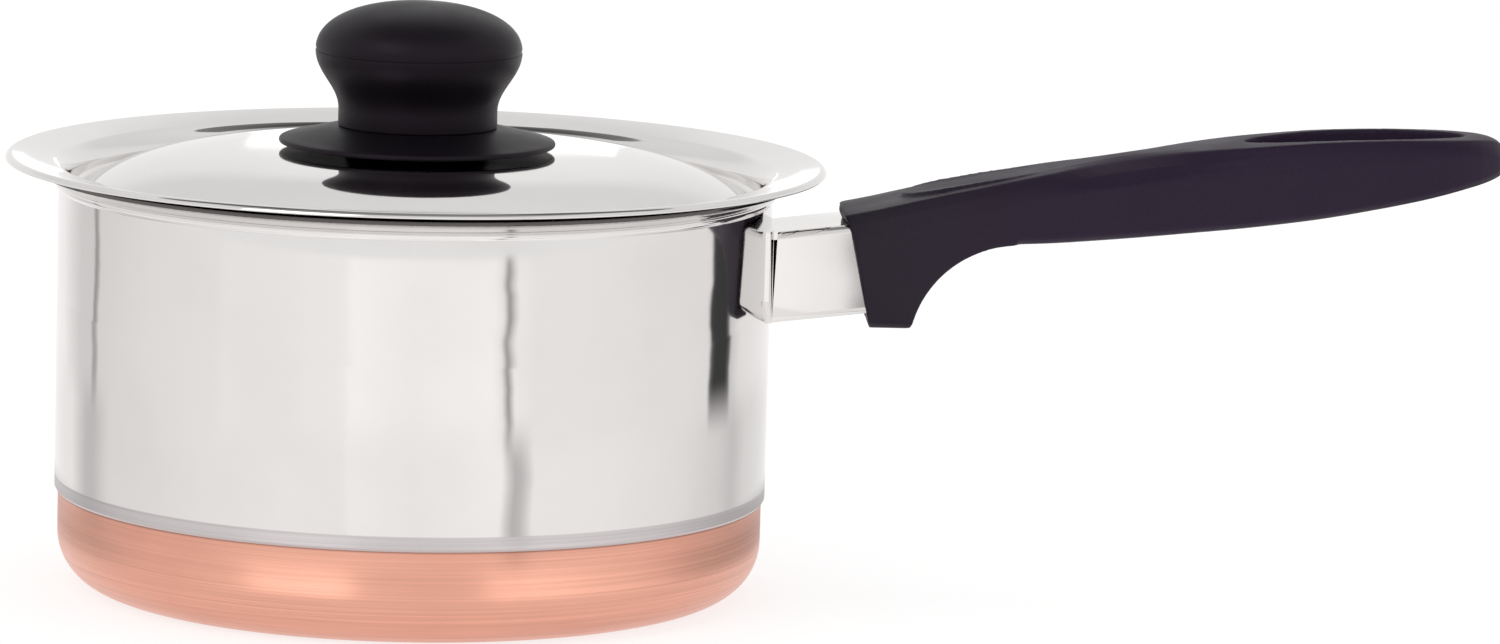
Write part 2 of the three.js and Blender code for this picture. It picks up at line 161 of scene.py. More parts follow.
def finish_mesh(piece, sharp=35):
    """Smooth shading up to an angle, and a line on what was made."""
    pick(piece)
    bpy.ops.object.shade_smooth_by_angle(angle=math.radians(sharp))
    print(f"{piece.name}: {len(piece.data.polygons)} faces, size",
          [round(v / mm, 1) for v in piece.dimensions])
    return piece


def cut(piece, *tools, operation="DIFFERENCE"):
    """Joins or cuts with other meshes, which are then removed."""
    for tool in tools:
        modify(piece, "BOOLEAN", operation=operation, solver="EXACT", object=tool)
        bpy.data.objects.remove(tool)
    return piece


print("a full turn has", TURNS, "steps; doubles closer than", WELD / mm, "mm are merged")

# %% [markdown]
# ## Shader sums written as sums
#
# Finishes are worked out from numbers such as height or noise. `Wire` holds one socket and
# understands + - * / so that an expression adds the Math nodes itself. `Finish` is one
# material: `node` adds any other node from its type, settings and inputs. Values that are the
# same all over a surface go straight onto the shader's own sockets.

# %% Wires and finishes
class Wire:
    """One output socket, with arithmetic."""

    def __init__(self, finish, socket):
        self.finish = finish
        self.socket = socket

    def __add__(self, other):
        return self.finish.maths("ADD", self, other)

    def __sub__(self, other):
        return self.finish.maths("SUBTRACT", self, other)

    def __rsub__(self, other):
        return self.finish.maths("SUBTRACT", other, self)

    def __mul__(self, other):
        return self.finish.maths("MULTIPLY", self, other)

    def __truediv__(self, other):
        return self.finish.maths("DIVIDE", self, other)

    __radd__ = __add__
    __rmul__ = __mul__


class Finish:
    """A material under construction; `at` is the place on the piece, in metres."""

    def __init__(self, name, colour, **shader):
        self.material = bpy.data.materials.new(name)
        self.material.use_nodes = True
        self.tree = self.material.node_tree
        self.shader = self.tree.nodes["Principled BSDF"]
        self.shader.inputs["Base Color"].default_value = (*colour, 1)
        for key, value in shader.items():
            self.shader.inputs[key.replace("_", " ").title().replace("Ior", "IOR")].default_value = value
        self.at = self.node("TexCoord", output="Object")
        split = self.node("SeparateXYZ", {"Vector": self.at}, output=None)
        self.x, self.y, self.z = (Wire(self, split.outputs[axis]) for axis in "XYZ")

    def node(self, kind, inputs=(), output=0, **settings):
        made = self.tree.nodes.new("ShaderNode" + kind)
        for key, value in settings.items():
            setattr(made, key, value)
        for key, value in dict(inputs).items():
            self.feed(made.inputs[key], value)
        return made if output is None else Wire(self, made.outputs[output])

    def feed(self, socket, value):
        if isinstance(value, Wire):
            self.tree.links.new(value.socket, socket)
        else:
            socket.default_value = value

    def maths(self, operation, *values, **settings):
        return self.node("Math", dict(enumerate(values)), operation=operation, **settings)

    def drive(self, socket, value):
        self.feed(self.shader.inputs[socket], value)

    def ramp(self, value, low, high, to_low=0.0, to_high=1.0):
        """Eases from to_low to to_high while value goes from low to high."""
        inputs = {"Value": value, "From Min": low, "From Max": high, "To Min": to_low, "To Max": to_high}
        return self.node("MapRange", inputs, interpolation_type="SMOOTHSTEP")

    def noise(self, scale, stretch=(1, 1, 1), detail=2.0, rough=0.5, at=None):
        """Noise from 0 to 1; a stretch above 1 along an axis packs it closer there."""
        spread = self.node("VectorMath", {0: at or self.at, 1: stretch}, operation="MULTIPLY")
        inputs = {"Vector": spread, "Scale": scale, "Detail": detail, "Roughness": rough}
        return self.node("TexNoise", inputs)

    def mix(self, factor, first, second):
        """Blends two colours."""
        inputs = {"Factor": factor}
        made = self.node("Mix", inputs, output=None, data_type="RGBA")
        self.feed(made.inputs[6], first if isinstance(first, Wire) else (*first, 1))
        self.feed(made.inputs[7], second if isinstance(second, Wire) else (*second, 1))
        return Wire(self, made.outputs[2])

    def emboss(self, height, depth, under=None):
        """Bumps the surface by height times depth metres, on top of an earlier bump."""
        inputs = {"Height": height, "Strength": 1.0, "Distance": depth}
        if under:
            inputs["Normal"] = under
        return self.node("Bump", inputs)

    def radius(self):
        """Distance from the upright axis."""
        return self.maths("SQRT", self.x * self.x + self.y * self.y)


def shaded(colour, share):
    """A colour at a share of its strength."""
    return tuple(share * c for c in colour)


print("a finish is made of", Finish.__name__, "and", Wire.__name__)

# %% [markdown]
# ## Steel
#
# The shell, lid and bracket are polished stainless steel. A mirror polish is never perfect:
# the buffing wheel leaves hairlines that run round the body, and the sheet waves a little, so
# reflections wander. The band just above the cup and the inside of the pan are left satin, and
# the outer edge of the pouring lip, in the gap under the lid's roll, is painted dark as shade.
# These could be three materials on chosen faces, but one function that picks the parts by place
# keeps their borders soft.

# %% Steel finishes
cup_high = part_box("copper_cup")[1]
pan_low, pan_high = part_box("pan_shell")
body_radius, cup_top, lip_radius = cup_high.x, cup_high.z, pan_high.x
band_top = cup_top + 3.2 * mm
wall = 0.8 * mm

STEEL = (0.80, 0.785, 0.775)
SATIN_STEEL = (0.60, 0.565, 0.57)
# Painted shade: the dark colour put on the pan lip's outer edge for the shadow in the gap under the lid's
# roll.
LIP_SHADE_STEEL = (0.12, 0.11, 0.11)
HAIRLINES = 2600
HAIR_DEPTH = 0.006 * mm
MIRROR_ROUGH = 0.045
SATIN_ROUGH = 0.24


def steel(name, satin_of, wave=0.05 * mm, wave_size=28, painted_shade_of=None):
    """Polished steel, satin where satin_of(finish) is 1 and painted dark, as shade, where the shade mask
    given last is 1.
    """
    paint = Finish(name, STEEL, metallic=1.0)
    satin = satin_of(paint)
    hair_place = {"X": paint.radius() * HAIRLINES, "Y": paint.x * 6, "Z": paint.z * HAIRLINES}
    across = paint.node("CombineXYZ", hair_place)
    hairs = paint.noise(1.0, at=across, detail=3.0, rough=0.6)
    smudges = paint.noise(38, detail=4.0)
    tone = paint.mix(paint.ramp(smudges, 0.35, 0.7), STEEL, shaded(STEEL, 0.965))
    brushed = paint.mix(paint.ramp(hairs, 0.3, 0.7), SATIN_STEEL, shaded(SATIN_STEEL, 0.86))
    colour = paint.mix(satin, tone, brushed)
    # Painted shade on the lip's outer edge, darkened as the gap under the lid's roll would be.
    if painted_shade_of:
        colour = paint.mix(painted_shade_of(paint), colour, LIP_SHADE_STEEL)
    paint.drive("Base Color", colour)
    polish = MIRROR_ROUGH + paint.ramp(smudges, 0.4, 0.75, 0.0, 0.035) + hairs * 0.02
    paint.drive("Roughness", polish + satin * SATIN_ROUGH)
    waves = paint.emboss(paint.noise(wave_size, (1, 1, 0.35), detail=1.0), wave)
    paint.drive("Normal", paint.emboss(hairs * (0.15 + satin), HAIR_DEPTH, under=waves))
    return paint.material


def no_satin(paint):
    """0 everywhere, for a piece that is bright all over."""
    return paint.z * 0


def pan_satin(paint):
    """1 on the band above the cup and on the inside of the pan."""
    band = 1 - paint.ramp(paint.z, band_top - 0.15 * mm, band_top + 0.15 * mm)
    inside = 1 - paint.ramp(paint.radius(), body_radius - wall, body_radius - 0.3 * wall)
    return paint.maths("MAXIMUM", band, inside)


def lip_gap_shade(paint):
    """1 on the outer edge of the pouring lip, where the shade in the gap under the lid's roll is painted."""
    return paint.ramp(paint.radius(), lip_radius - 0.45 * mm, lip_radius - 0.2 * mm)


pan_steel = steel("polished_pan_steel", pan_satin, wave=0.12 * mm, painted_shade_of=lip_gap_shade)
bracket_steel = steel("polished_bracket_steel", no_satin, wave=0.08 * mm, wave_size=60)
print("steel finishes:", pan_steel.name, bracket_steel.name)

# %% [markdown]
# ## Copper
#
# The bottom cup is copper-coloured and brushed round its axis. The brush lines lie level on
# the wall and run in rings on the underside, so a plain stretched noise would fit only one of
# the two. Height minus radius changes across both, and one noise packed along that value draws
# the lines everywhere.

# %% Copper finish
COPPER = (0.83, 0.42, 0.315)
COPPER_DEEP = (0.66, 0.315, 0.235)
BRUSH_LINES = 5200

copper_paint = Finish("brushed_copper", COPPER, metallic=1.0)
across = (copper_paint.z - copper_paint.radius()) * BRUSH_LINES
line_place = {"X": copper_paint.x * 9, "Y": copper_paint.y * 9, "Z": across}
lines = copper_paint.noise(1.0, at=copper_paint.node("CombineXYZ", line_place), detail=3.0, rough=0.65)
patina = copper_paint.noise(30, (1, 1, 2.5), detail=4.0)
bright = copper_paint.mix(copper_paint.ramp(lines, 0.3, 0.7), COPPER, shaded(COPPER, 0.8))
# Painted shade: the copper is darkened just under its top edge, in the gap under the body's step.
rim = copper_paint.ramp(copper_paint.z, cup_top - 0.9 * mm, cup_top - 0.2 * mm)
worn = copper_paint.mix(copper_paint.ramp(patina, 0.45, 0.8, 0.0, 0.45), bright, COPPER_DEEP)
copper_paint.drive("Base Color", copper_paint.mix(rim * 0.75, worn, shaded(COPPER_DEEP, 0.3)))
copper_paint.drive("Roughness", copper_paint.ramp(patina, 0.3, 0.8, 0.25, 0.34) + lines * 0.05)
copper_paint.drive("Normal", copper_paint.emboss(lines, 0.012 * mm))
copper = copper_paint.material
print("copper finish:", copper.name)

# %% [markdown]
# ## Black mouldings
#
# Handle and knob are moulded in a hard black plastic. The handle's skin has a fine spark-eroded
# grain, which is bumped, and the speckles that light picks out where it grazes the grain are also
# painted lighter into the colour as glints; its black leans to purple away from the pan. The knob
# is a shade smoother. Both come from one function, because only the colours, the depth of the
# grain and the gloss differ.

# %% Plastic finishes
grip_low, grip_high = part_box("handle_grip")
PURPLE_SHEEN = (1.0, 0.84, 1.0, 1.0)
GRIP_BLACK = (0.0105, 0.0085, 0.0145)
GRIP_PURPLE = (0.0125, 0.0060, 0.0205)
KNOB_BLACK = (0.0042, 0.0030, 0.0052)
PURPLE_REACH = 60 * mm


def plastic(name, near, far, grain, gloss, shine):
    """Black moulded plastic; the colour goes from near to far along the handle."""
    paint = Finish(name, near, roughness=gloss, specular_ior_level=shine, specular_tint=PURPLE_SHEEN)
    speckle = paint.noise(2300, detail=2.0, rough=0.7)
    cloud = paint.noise(60, detail=3.0)
    along = paint.ramp(paint.x, grip_low.x, grip_low.x + PURPLE_REACH)
    base = paint.mix(along, near, far)
    # Painted glints: the grain's speckles are lightened in the colour, on top of their real bump.
    grain_glint_colour = paint.mix(paint.ramp(speckle, 0.55, 0.8, 0.0, 0.5), base, shaded(near, 2.6))
    paint.drive("Base Color", grain_glint_colour)
    paint.drive("Roughness", gloss + paint.ramp(cloud, 0.3, 0.7, -0.04, 0.05) + speckle * 0.06)
    paint.drive("Normal", paint.emboss(speckle, grain))
    return paint.material


grip_plastic = plastic("grained_black_plastic", GRIP_BLACK, GRIP_PURPLE, 0.05 * mm, gloss=0.46, shine=0.26)
knob_plastic = plastic("fine_black_plastic", KNOB_BLACK, KNOB_BLACK, 0.025 * mm, gloss=0.4, shine=0.2)
print("plastic finishes:", grip_plastic.name, knob_plastic.name)

# %% [markdown]
# ## Small metal
#
# Screws, washers and nut are zinc-plated steel, the insert moulded into the knob is brass and
# the heat-spreading disc inside the base is aluminium. All three are dull metals with machining
# marks, so one function makes them from a colour, a roughness and the size of the marks.

# %% Dull metals
def dull_metal(name, colour, rough, mark_size):
    paint = Finish(name, colour, metallic=1.0)
    marks = paint.noise(mark_size, (1, 1, 6), detail=4.0)
    stains = paint.noise(mark_size * 0.1, detail=3.0)
    paint.drive("Base Color", paint.mix(paint.ramp(stains, 0.35, 0.7), colour, shaded(colour, 0.8)))
    paint.drive("Roughness", rough + marks * 0.14)
    paint.drive("Normal", paint.emboss(marks, 0.01 * mm))
    return paint.material


zinc = dull_metal("zinc_plate", (0.56, 0.55, 0.53), 0.28, 900)
brass = dull_metal("turned_brass", (0.60, 0.43, 0.17), 0.3, 900)
aluminium = dull_metal("pressed_aluminium", (0.60, 0.605, 0.61), 0.4, 400)
print("dull metals:", zinc.name, brass.name, aluminium.name)

# %% [markdown]
# ## Pan body
#
# The body is drawn from one sheet: floor, rounded corner, a step out above the cup, the wall, a
# fine bead and a flared lip for pouring. Only the outer face is drawn and spun; Solidify gives
# the sheet its wall on the inside and a narrow Bevel breaks the lip's edges, as a press tool
# leaves them.

# %% Pan body
lip_top, floor_underside = pan_high.z, pan_low.z
press_round = 0.22 * mm
corner = 12.5 * mm
step_gap = 0.3 * mm
joggle = 0.4 * mm
bead_height = 1.8 * mm
bead_proud = 0.6 * mm
lower_radius = body_radius - wall - step_gap
lower_corner = corner - wall - step_gap
flare_bottom = lip_top - wall - 2.7 * mm
bead_middle = flare_bottom - 0.6 * bead_height
flat_radius = lower_radius - lower_corner


def soften_edges(piece, width, sharper_than=70):
    """Rounds every edge that is sharper than an angle in degrees."""
    sharp = math.radians(sharper_than)
    modify(piece, "BEVEL", width=width, segments=3, limit_method="ANGLE", angle_limit=sharp)


def bead(middle):
    """A small half-round swelling of the wall."""
    half = bead_height / 2
    shares = [i / 8 for i in range(9)]
    return [
        (body_radius + bead_proud * math.sin(math.pi * t) ** 1.5, middle - half + bead_height * t)
        for t in shares
    ]


pan_line = [
    (0, floor_underside),
    (0.5 * flat_radius, floor_underside),
    *arc((flat_radius, floor_underside + lower_corner), lower_corner, -90, 0, 14),
    (lower_radius, cup_top + step_gap),
    (body_radius - 0.3 * joggle, cup_top + step_gap + 0.6 * joggle),
    (body_radius, cup_top + step_gap + joggle),
    (body_radius, band_top),
    (body_radius, 0.5 * (band_top + bead_middle)),
    *bead(bead_middle),
    *bend(
        (body_radius + 0.02 * mm, flare_bottom),
        (body_radius + 1.6 * mm, flare_bottom + 2.2 * mm),
        (lip_radius, lip_top - wall),
        14,
    ),
]
pan_body = turn("pan_body", pan_line)
modify(pan_body, "SOLIDIFY", thickness=wall, offset=-1, use_even_offset=True)
soften_edges(pan_body, press_round)
finish_mesh(pan_body)

# %% [markdown]
# ## Copper cup
#
# The cup is a shallow pressing that hugs the base. Its underside is dished by a hair inside a
# standing ring so that the pan sits flat when hot. The top edge is left a gap below the step of
# the body, which reads as a fine dark line all round.

# %% Copper cup
dish_radius = 54 * mm
dish_depth = 0.2 * mm
cup_line = [
    (0, dish_depth),
    (dish_radius, dish_depth),
    (dish_radius + 1.5 * mm, 0),
    *arc((body_radius - corner, corner), corner, -90, 0, 18),
    (body_radius, cup_top),
]
cup_skin = turn("copper_cup_skin", cup_line)
modify(cup_skin, "SOLIDIFY", thickness=wall, offset=-1, use_even_offset=True)
soften_edges(cup_skin, 0.25 * mm)
finish_mesh(cup_skin)

# %% [markdown]
# ## Lid
#
# The lid is one pressing too: a flat-topped dome, a narrow trough, an upright wall that drops
# inside the pan's mouth, and a flange that climbs outwards to a rolled lip. The flange's slope
# and the roll matter most, because they catch the two bright lines round the rim.

# %% Lid
lid_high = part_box("lid_shell")[1]
skirt_low, skirt_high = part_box("knob_skirt")
lid_sheet = 0.7 * mm
dome_top = lid_high.z
crest = dome_top - 2 * mm
lid_wall = body_radius - wall - 0.5 * mm - lid_sheet
flange_slope = 10
shoulder = 5 * mm
roll = 1.5 * mm
trough = 1.4 * mm
dome_rise = 9.9 * mm
dome_power = 5.5
dome_edge = lid_wall - 1.6 * trough
hole_radius = 2.6 * mm


def dome_height(r):
    """The outer face of the dome: flat at first, then ever steeper."""
    return dome_top - dome_rise * (r / dome_edge) ** dome_power


edge_slope = math.degrees(math.atan(dome_power * dome_rise / dome_edge))
trough_centre = (lid_wall - trough, dome_height(dome_edge) + trough * math.cos(math.radians(edge_slope)))
roll_centre = (lid_high.x - roll, crest - roll)
rise = math.radians(flange_slope)
flange_end = (roll_centre[0] - roll * math.sin(rise), roll_centre[1] + roll * math.cos(rise))
shoulder_x = lid_wall + shoulder
shoulder_z = flange_end[1] - (flange_end[0] - shoulder_x) * math.tan(rise) - shoulder / math.cos(rise)
dome_steps = 22
dome_shares = [(i / dome_steps) ** 0.5 for i in range(dome_steps)]
dome_radii = [hole_radius + (dome_edge - hole_radius) * t for t in dome_shares]

lid_line = [
    *[(r, dome_height(r)) for r in dome_radii],
    *arc(trough_centre, trough, -90 - edge_slope, 0, 10),
    *arc((shoulder_x, shoulder_z), shoulder, 180, 90 + flange_slope, 12),
    *arc(roll_centre, roll, 90 + flange_slope, 12, 10),
]
lid_cover = turn("lid_cover", lid_line)
modify(lid_cover, "SOLIDIFY", thickness=lid_sheet, offset=-1, use_even_offset=True)
soften_edges(lid_cover, 0.2 * mm)
finish_mesh(lid_cover)
lid_steel = steel("polished_lid_steel", no_satin, wave=0.03 * mm, wave_size=20)

# %% [markdown]
# ## Skirt under the knob
#
# The skirt is a thin saucer that hides the screw and keeps fingers off the hot lid. Its flat
# foot stands on the dome and the rounded edge floats just above it. A saucer is a turned shape,
# so its whole section is drawn and spun.

# %% Skirt
skirt_radius = skirt_high.x
foot_radius = 15 * mm
skirt_edge = 1.3 * mm
neck_radius = 18 * mm
edge_height = skirt_low.z + 0.8 * mm + skirt_edge / 2
skirt_line = [
    (hole_radius + 0.3 * mm, skirt_low.z),
    (foot_radius, skirt_low.z),
    (foot_radius + 1.5 * mm, skirt_low.z + 1.5 * mm),
    (skirt_radius - 2.2 * mm, edge_height),
    *arc((skirt_radius - skirt_edge / 2, edge_height), skirt_edge / 2, -90, 75, 10),
    *bend(
        (skirt_radius - 1.6 * mm, edge_height + 0.85 * mm),
        (neck_radius + 5 * mm, skirt_high.z - 0.9 * mm),
        (neck_radius + 0.9 * mm, skirt_high.z),
        10,
    ),
    (hole_radius + 0.3 * mm, skirt_high.z),
    (hole_radius + 0.3 * mm, skirt_low.z),
]
skirt = turn("heat_skirt", skirt_line)
finish_mesh(skirt)

# %% [markdown]
# ## Knob
#
# The knob is mushroom-shaped, and the two halves of its mould meet in a fine groove at its
# widest. The cap is a flattened circle and the flare below it a curve with two pulls, one up
# the neck and one into the head. It is spun like the rest. The hollow for the brass insert is
# made last, by extruding the ring of edges at the foot upwards and closing it.

# %% Knob
knob_low, knob_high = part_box("lid_knob")
knob_radius = knob_high.x
waist = knob_high.z - 11.1 * mm
neck_top = knob_low.z + 3.6 * mm
groove = 0.22 * mm
insert_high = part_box("knob_insert")[1]
socket_radius = insert_high.x + 0.3 * mm
socket_top = insert_high.z + 0.3 * mm
neck_pull = 5 * mm
head_pull = 8 * mm
neck_foot = skirt_high.z + 0.05 * mm
foot_round = 0.3 * mm
head_power = 2.2
cap_steps = 20


def lower_head(t):
    """The flare of the knob from its neck to its widest."""
    u = 1 - t
    radius = u ** 3 * neck_radius + 3 * u * u * t * neck_radius + (3 * u * t * t + t ** 3) * knob_radius
    height = 3 * u * u * t * neck_pull + 3 * u * t * t * head_pull + t ** 3 * (waist - neck_top)
    return radius, neck_top + height


def cap(i):
    """A point on the cap, from the widest place up to the top."""
    share = math.sin(math.pi / 2 * i / cap_steps)
    radius = knob_radius * (1 - share ** head_power) ** (1 / head_power)
    return radius, waist + share * (knob_high.z - waist)


knob_line = [
    (socket_radius, neck_foot),
    (neck_radius - foot_round, neck_foot),
    *arc((neck_radius - foot_round, neck_foot + foot_round), foot_round, -90, 0, 4)[1:],
    *[lower_head(i / 16) for i in range(16)],
    (knob_radius, waist - groove),
    (knob_radius - groove, waist - 0.4 * groove),
    (knob_radius - groove, waist + 0.4 * groove),
    *[cap(i) for i in range(1, cap_steps)],
    (0, knob_high.z),
]
knob = turn("mushroom_knob", knob_line, 128)
edit(knob)
bpy.ops.mesh.select_all(action="DESELECT")
bpy.ops.object.mode_set(mode="OBJECT")
near = 0.001 * mm
for edge in knob.data.edges:
    ends = [knob.data.vertices[i].co for i in edge.vertices]
    edge.select = all(abs(c.z - neck_foot) < near and c.xy.length < socket_radius + near for c in ends)
bpy.ops.object.mode_set(mode="EDIT")
bpy.ops.mesh.select_mode(type="EDGE")
bpy.ops.mesh.extrude_region_move(TRANSFORM_OT_translate={"value": (0, 0, socket_top - neck_foot)})
bpy.ops.mesh.edge_face_add()
close_up(knob)
finish_mesh(knob)

# %% [markdown]
# ## Handle bracket
#
# The bracket is folded from 1.5 mm sheet into a box that slopes up from the wall. By hand: a
# cube at the box's size, its long edges bevelled to the fold radius, its ends taken off and a
# wall added inwards. It is made level and then tilted as one, which keeps its sides square.

# %% Bracket box
tilt = math.radians(7)
box_width = 26 * mm
box_depth = 20.5 * mm
box_height = lip_top - 22.1 * mm
fold = 1.7 * mm
bracket_wall = 1.5 * mm
reach = 30 * mm
setback = 20 * mm
pivot = Vector((body_radius, 0, box_height))


def add_box(name, low, high):
    """A cube between two corners, with its place in its mesh."""
    deselect()
    bpy.ops.mesh.primitive_cube_add(size=1, location=(Vector(low) + Vector(high)) / 2)
    piece = bpy.context.object
    piece.name = piece.data.name = name
    piece.scale = Vector(high) - Vector(low)
    settle(piece)
    return piece


def add_drum(name, radius, low, high, sides=TURNS, at=(0, 0)):
    """A cylinder between two heights."""
    deselect()
    bpy.ops.mesh.primitive_cylinder_add(
        vertices=sides, radius=radius, depth=high - low, location=(*at, (low + high) / 2)
    )
    piece = bpy.context.object
    piece.name = piece.data.name = name
    settle(piece)
    return piece


def select_where(piece, kind, wanted):
    """Selects the faces or edges whose middle and direction pass the test."""
    bpy.ops.object.mode_set(mode="OBJECT")
    mesh = piece.data
    for group in (mesh.vertices, mesh.edges, mesh.polygons):
        group.foreach_set("select", [False] * len(group))
    for item in mesh.polygons if kind == "FACE" else mesh.edges:
        if kind == "FACE":
            middle, direction = item.center, item.normal
        else:
            a, b = (mesh.vertices[i].co for i in item.vertices)
            middle, direction = (a + b) / 2, (b - a).normalized()
        item.select = wanted(middle, direction)
    bpy.ops.object.mode_set(mode="EDIT")
    bpy.ops.mesh.select_mode(type=kind)


def fill_and_extrude(piece, step):
    """Makes a traced loop a solid: its ends merged, the loop filled and pulled along the step."""
    edit(piece)
    bpy.ops.mesh.remove_doubles(threshold=0.01 * mm)
    bpy.ops.mesh.edge_face_add()
    bpy.ops.mesh.extrude_region_move(TRANSFORM_OT_translate={"value": step})
    close_up(piece)


def tilt_about_wall(piece):
    """Turns the piece up about the point where the bracket's axis meets the wall."""
    lift = Matrix.Translation(pivot) @ Matrix.Rotation(-tilt, 4, "Y") @ Matrix.Translation(-pivot)
    piece.matrix_world = lift @ piece.matrix_world
    settle(piece)
    return piece


half_box = Vector((0, box_width / 2, box_depth / 2))
bracket = add_box(
    "folded_bracket",
    pivot - half_box - Vector((setback, 0, 0)),
    pivot + half_box + Vector((reach, 0, 0)),
)
select_where(bracket, "EDGE", lambda middle, direction: abs(direction.x) > 0.9)
bpy.ops.mesh.bevel(offset=fold, segments=10, affect="EDGES")
select_where(bracket, "FACE", lambda middle, direction: abs(direction.x) > 0.9)
bpy.ops.mesh.delete(type="FACE")
bpy.ops.object.mode_set(mode="OBJECT")
modify(bracket, "SOLIDIFY", thickness=bracket_wall, offset=-1, use_even_offset=True)
tilt_about_wall(bracket)
print("bracket box:", len(bracket.data.polygons), "faces")

# %% [markdown]
# ## Weld wings
#
# Two wings hug the body and carry the spot welds; their lower corners are cropped. They are a
# drum cut down by a window with two chamfered edges, opened in the middle and joined on, and a
# drum of the pan's size trims all of it to the wall. Where the sheet folds from a wing into the
# box's side it is slit from the top, a long thin V, and a narrow bevel breaks every edge.
# Weighted normals keep the flat sides flat beside those bevels.

# %% Wings and slits
wing_low = box_height - box_depth / 2
wing_high = box_height + box_depth / 2 + 1 * mm
wing_reach = 5.2 * mm
wing_corner = 5.8 * mm
weld_gap = 0.3 * mm
wing_half = box_width / 2 + wing_reach
wing_radius = body_radius + weld_gap + bracket_wall
wings = add_drum("wings", wing_radius, wing_low, wing_high, 256)
window = add_box("window", (0, -wing_half, wing_low), (2 * body_radius, wing_half, wing_high))
select_where(window, "EDGE", lambda middle, direction: abs(direction.x) > 0.9 and middle.z < box_height)
bpy.ops.mesh.bevel(offset=wing_corner, segments=1, affect="EDGES")
bpy.ops.object.mode_set(mode="OBJECT")
cut(wings, window, operation="INTERSECT")
opening = box_width / 2 - bracket_wall
cut(wings, add_box("opening", (0, -opening, 0), (2 * body_radius, opening, lip_top)))
cut(bracket, wings, operation="UNION")
cut(bracket, add_drum("pan_side", body_radius + weld_gap, 0, lip_top, 256))

slit_start = math.sqrt(wing_radius ** 2 - (box_width / 2) ** 2)
slit_side = 11.5 * mm
slit_mouth = 1 * mm
slit_foot = 0.1 * mm
slit_across = 3 * mm
for side in (-1, 1):
    mouth = (slit_start, side * slit_side, wing_high + mm)
    slit = trace("slit", [
        mouth,
        (slit_start + slit_mouth, side * slit_side, wing_high + mm),
        (slit_start + slit_foot, side * slit_side, wing_low + mm),
        mouth,
    ])
    fill_and_extrude(slit, (0, side * slit_across, 0))
    cut(bracket, slit)
soften_edges(bracket, 0.25 * mm, sharper_than=55)
close_up(bracket)
finish_mesh(bracket, 40)
modify(bracket, "WEIGHTED_NORMAL", keep_sharp=True, weight=100)

# %% [markdown]
# ## Handle
#
# The handle is one moulding with a deep root that swallows the bracket, a finger arch, a raised
# thumb pad, a shoulder line down each side and a long hanging hole. It is drawn as a boat hull
# is: a few long lines say how the back, the belly, the shoulder line and the widths run, and a
# closed section is worked out from them at each station. A hull keeps its long lines fair,
# which a pile of boxes and cylinders would not.

# %% Lines and sections of the handle
root = grip_low.x
landing = grip_low.z

# Lines along the handle, as (distance from the root, height above the landing), in millimetres.
BACK = [(0, 25.4), (5, 26.6), (12, 28.4), (24, 31.2), (49, 36.4), (77, 41.2), (104, 44.1), (118, 44.9),
        (132, 45.2), (140.4, 45.2), (145.2, 44.9), (147.9, 44.0), (149, 42.6)]
CREASE = [(0, 20.5), (38, 29.6), (74, 35.4), (110, 39.4), (143, 42.3), (149, 40.6)]
BELLY = [(38.2, 19.6), (48, 20.1), (62, 21.3), (76, 22.8), (90, 24.4), (104, 26.4), (116, 28.6),
         (130, 31.5), (140.4, 34.2), (145.2, 35.5), (147.9, 36.6), (149, 38.0)]
HALF_WIDTH = [(0, 15.5), (20, 15.4), (40, 14.8), (57, 14.1), (95, 14.6), (115, 14.9), (135, 13.2),
              (142, 11.2), (145.2, 9.2), (147.9, 6.8), (149, 4.6)]
TOP_HALF = [(0, 12.3), (30, 11.9), (45, 9.8), (57, 5.6), (66, 5.4), (80, 9.2), (92, 11.7), (115, 11.9),
            (135, 9.9), (145.2, 5.6), (149, 1.6)]
RIDGE = [(0, 0.25), (34, 0.25), (50, 0.5), (64, 0.5), (80, 0.2), (149, 0.1)]
# The root's face slants, fading out by LEAN_END, and its top hangs over the bracket by HOOD.
LEAN_END = 12.2
ROOT_SLANT = 4.8
HOOD = 2.0
ARCH_ROUGH = 24.0
ARCH_CENTRE = (38.2, -4.8)
ARCH_RADIUS = 24.4


def follow(line, x):
    """The height of a smooth line at distance x; the slope at each point is shared by its spans."""
    if x <= line[0][0]:
        return line[0][1]
    for i in range(len(line) - 1):
        (x0, a), (x1, b) = line[i], line[i + 1]
        if x <= x1:
            before = line[max(i - 1, 0)]
            after = line[min(i + 2, len(line) - 1)]
            m0 = (b - before[1]) / (x1 - before[0]) * (x1 - x0)
            m1 = (after[1] - a) / (after[0] - x0) * (x1 - x0)
            t = (x - x0) / (x1 - x0)
            return ((2 * t**3 - 3 * t**2 + 1) * a + (t**3 - 2 * t**2 + t) * m0
                    + (3 * t**2 - 2 * t**3) * b + (t**3 - t**2) * m1)
    return line[-1][1]


def underside(x):
    """The flat landing, a rough slope that the finger arch is cut from, then the belly."""
    if x <= ARCH_ROUGH:
        return 0.0
    if x >= ARCH_CENTRE[0]:
        return follow(BELLY, x)
    return BELLY[0][1] * (x - ARCH_ROUGH) / (ARCH_CENTRE[0] - ARCH_ROUGH)


